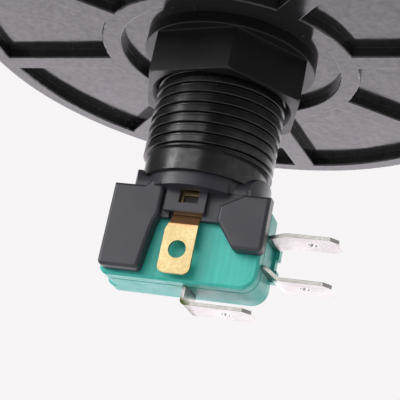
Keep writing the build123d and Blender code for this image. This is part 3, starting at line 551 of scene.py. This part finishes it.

# %% [markdown]
# ## Marks on the metals
#
# The brass strip carries a painted shade just under the column, darker and redder there. The plating of
# the common blade has tarnished on the outside of its bend, and the walls of the locking holes carry a
# painted highlight. Such marks could be painted on. A tint near a line or a plane needs only a distance,
# and follows the piece in every view.


# %% Marks on the metals
def tint(finish, middle, across, reach, fade, ragged, colour):
    """Tints a finish near a line or plane through middle, as in distance_from. The tint is full out to reach
    and gone after fade more, and noise moves its edge by up to ragged."""
    tree = finish.node_tree
    shader = tree.nodes["Principled BSDF"]
    uneven = spread(tree, noise(tree, per_metre=900.0), (0.0, 1.0), (0.0, ragged))
    distance = combine(tree, "ADD", distance_from(tree, middle, across), uneven)
    mark = spread(tree, distance, (reach, reach + fade), FALLING)
    below = shader.inputs["Base Color"].links[0].from_socket
    tree.links.new(cover_colour(tree, mark, below, colour), shader.inputs["Base Color"])


tarnish_olive, painted_shade_brass, hole_glint_colour = (0.045, 0.055, 0.012), (0.62, 0.33, 0.16), (0.92, 0.90, 0.88)
tint(
    tin_bent,
    middle=(1.0 * MM, 0.0, -47.2 * MM),
    across=(1, 0, 1),
    reach=1.9 * MM,
    fade=0.95 * MM,
    ragged=1.9 * MM,
    colour=tarnish_olive,
)
# Painted shade: the strip just under the column is made darker and redder, as in the column's shadow.
tint(
    strip_brass,
    middle=(0.0, 0.0, -33.4 * MM),
    across=(0, 0, 1),
    reach=1.6 * MM,
    fade=0.8 * MM,
    ragged=1.6 * MM,
    colour=painted_shade_brass,
)
hole_inset = 4.8 * MM
# Painted highlight: the walls of each blade's locking hole are made near white, as if catching the light.
for tin, blade in ((terminal_tin, "upper_terminal"), (tin_bent, "common_terminal")):
    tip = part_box(blade)[1][0]
    tint(
        tin,
        middle=(tip - hole_inset, 0.0, 0.0),
        across=(1, 1, 0),
        reach=0.97 * MM,
        fade=0.03 * MM,
        ragged=0.0,
        colour=hole_glint_colour,
    )
    print(blade, "has its hole at x", round(tip - hole_inset, 5))

# %% [markdown]
# ## Pale plastics
#
# The plunger, the lamp and its board are hidden in the finished button. They still get a slow change of
# colour and a fine skin, so that they look right when the button is taken apart. One recipe does for all.


# %% Pale plastics
def pale_moulding(name, first, second, roughness):
    """A light plastic with slow colour change and a fine skin."""
    finish, tree, shader = new_finish(name, first, roughness)
    cloud = spread(tree, noise(tree, per_metre=80.0, detail=3.0), (0.3, 0.7), RISING)
    tree.links.new(blend_colour(tree, cloud, first, second), shader.inputs["Base Color"])
    bump(tree, shader, [(noise(tree, per_metre=3000.0, detail=2.0), 0.3, 0.003 * MM)], edge=0.1 * MM)
    return finish


plunger_white = pale_moulding("plunger_white", (0.80, 0.80, 0.78), (0.86, 0.86, 0.84), roughness=0.45)
lamp_clear = pale_moulding("lamp_clear", (0.74, 0.75, 0.74), (0.80, 0.81, 0.80), roughness=0.25)
board_white = pale_moulding("board_white", (0.78, 0.80, 0.78), (0.84, 0.85, 0.83), roughness=0.4)
chip_yellow = pale_moulding("chip_yellow", (0.85, 0.62, 0.10), (0.90, 0.70, 0.15), roughness=0.3)
print("made", plunger_white.name, lamp_clear.name, board_white.name, chip_yellow.name)

# %% [markdown]
# ## Dome plastic
#
# The dome is red, lets part of the light through and is polished outside. Clear red glass would show the
# lamp sharply. A shader that is only partly see-through keeps the colour strong, as moulded domes do.


# %% Dome plastic
def dome_moulding():
    """Red plastic that lets part of the light through, polished outside."""
    finish, tree, shader = new_finish("dome_red", (0.80, 0.02, 0.02), roughness=0.08, ior=1.49)
    shader.inputs["Transmission Weight"].default_value = 0.55
    worn = noise(tree, per_metre=120.0, detail=5.0)
    tree.links.new(spread(tree, worn, (0.35, 0.7), (0.06, 0.16)), shader.inputs["Roughness"])
    bump(tree, shader, [(noise(tree, per_metre=70.0, detail=2.0), 0.15, 0.2 * MM)], edge=0.3 * MM)
    return finish


dome_red = dome_moulding()
print("made", dome_red.name)

# %% [markdown]
# ## Finishes on the solids
#
# Each solid gets one finish. A table from piece to finish is easier to check than a line of code for each
# piece, and the print shows whether a solid was forgotten.

# %% Finishes on the solids
finish_of = {
    "base_housing": base_black,
    "trim_ring": base_black,
    "flange_nut": nut_black,
    "lamp_holder": holder_black,
    "dome_lens": dome_red,
    "plunger": plunger_white,
    "return_spring": spring_steel,
    "lamp_contact_front": strip_brass,
    "lamp_contact_rear": strip_brass,
    "lamp_base": lamp_clear,
    "lamp_leads": contact_metal,
    "led_board": board_white,
    "led_chips": chip_yellow,
    "switch_case": switch_teal,
    "switch_cover": switch_teal,
    "switch_pin": nut_black,
    "upper_terminal": terminal_tin,
    "lower_terminal": terminal_tin,
    "common_terminal": tin_bent,
    "upper_contact": contact_metal,
    "lower_contact": contact_metal,
    "moving_contact": contact_metal,
    "contact_blade": blade_bronze,
    "snap_spring": blade_bronze,
}
for name, finish in finish_of.items():
    nodes[name].data.materials.clear()
    nodes[name].data.materials.append(finish)
print("finishes on", len(finish_of), "solids;", sorted(set(nodes) - set(finish_of)), "left")

# %% [markdown]
# ## Return spring
#
# Under the plunger's plate sits a wound wire spring. It could be a curve with a round bevel. A grid worked
# out from the formula of a helix gives even faces and closed ends without one. It stands for the spring's
# solid.


# %% Return spring
def coil_points(radius, wire, turns, foot, rise, along, around):
    """Points of a round wire wound on a helix. At turn angle t the wire's middle is at (R cos t, R sin t,
    foot + p t), where p is the rise for one radian, and each ring of points round the wire lies in the plane
    of the outward direction and Z."""
    angle = np.linspace(0.0, 2 * np.pi * turns, along)[:, None]
    ring = -np.linspace(0.0, 2 * np.pi, around, endpoint=False)[None, :]
    reach = radius + wire / 2 * np.cos(ring)
    height = foot + rise * angle / angle[-1] + wire / 2 * np.sin(ring)
    return np.stack([reach * np.cos(angle), reach * np.sin(angle), height], -1)


def new_piece(name, mesh, finish, body):
    """Adds a piece of the button that rides on a body and takes its finish from a slot."""
    piece = new_object(name, mesh, finish)
    piece.data.shade_smooth()
    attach(piece, body)
    return piece


wire, turns, travel, seat_gap = 1.1 * MM, 3.5, 3.0 * MM, 0.05 * MM
rings_along, points_around = 260, 14
spring_low, spring_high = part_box("return_spring")
coil_radius = spring_high[0] - wire / 2
coil_foot, coil_rise = spring_low[2] + wire / 2, spring_high[2] - spring_low[2] - wire
coil = coil_points(coil_radius, wire, turns, coil_foot, coil_rise, rings_along, points_around)
coil_mesh = grid_mesh("spring_coil", coil, wrap_columns=True, caps=True)
spring_coil = new_piece("spring_coil", coil_mesh, spring_steel, "housing")
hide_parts("return_spring")
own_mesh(spring_coil)
print("spring from", round(spring_low[2], 5), "to", round(spring_high[2], 5), "with", turns, "turns")

# %% [markdown]
# ## Rings inside the dome
#
# A lit dome has fine rings on its inside that spread the lamp's light. A bump in the material would give no
# real shape, so they are a closed body just under the dome's wall: a smooth outer face, and an inner face
# whose radius goes in and out with the angle from the top. Both outlines make one loop, and turning the loop
# round Z gives the grid. The dome is part of a sphere, whose radius follows from its reach and its rise.


# %% Rings inside the dome
def ring_points(centre, outer, back, depth, rate, lean, around):
    """Points of a ridged shell about a centre on Z. At angle a from the top, the outer face has radius R and
    the inner face R - back - depth |sin(rate a)|. The loop goes out along the inner face and back along the
    outer one. Turned by b, its point of radius r is at (r sin a cos b, r sin a sin b, centre + r cos a)."""
    smooth = np.full(len(lean), outer)
    ridged = smooth - back - depth * np.abs(np.sin(rate * lean))
    lean_loop = np.concatenate([lean, lean[::-1]])[:, None]
    radius_loop = np.concatenate([ridged, smooth])[:, None]
    round_z = np.linspace(0.0, 2 * np.pi, around, endpoint=False)[None, :]
    reach = radius_loop * np.sin(lean_loop)
    height = centre + radius_loop * np.cos(lean_loop)
    return np.stack(np.broadcast_arrays(reach * np.cos(round_z), reach * np.sin(round_z), height), -1)


dome_reach, dome_rise, dome_wall = 43.0 * MM, 29.0 * MM, 2.2 * MM
ring_gap, ring_back, ring_depth, ring_rate = 0.02 * MM, 0.25 * MM, 0.22 * MM, 40
first_share, last_share, lean_steps, round_steps = 0.02, 0.86, 240, 96
dome_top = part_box("dome_lens")[1][2]
sphere = (dome_reach**2 + dome_rise**2) / (2 * dome_rise)
lean = np.linspace(first_share, last_share, lean_steps) * np.arcsin(dome_reach / sphere)
ring_outer = sphere - dome_wall - ring_gap
rings = ring_points(dome_top - sphere, ring_outer, ring_back, ring_depth, ring_rate, lean, round_steps)
ring_mesh = grid_mesh("lens_rings", rings, wrap_rows=True, wrap_columns=True)
new_piece("lens_rings", ring_mesh, dome_red, "button")
print("rings with", len(ring_mesh.vertices), "points under a dome of radius", round(sphere, 5))
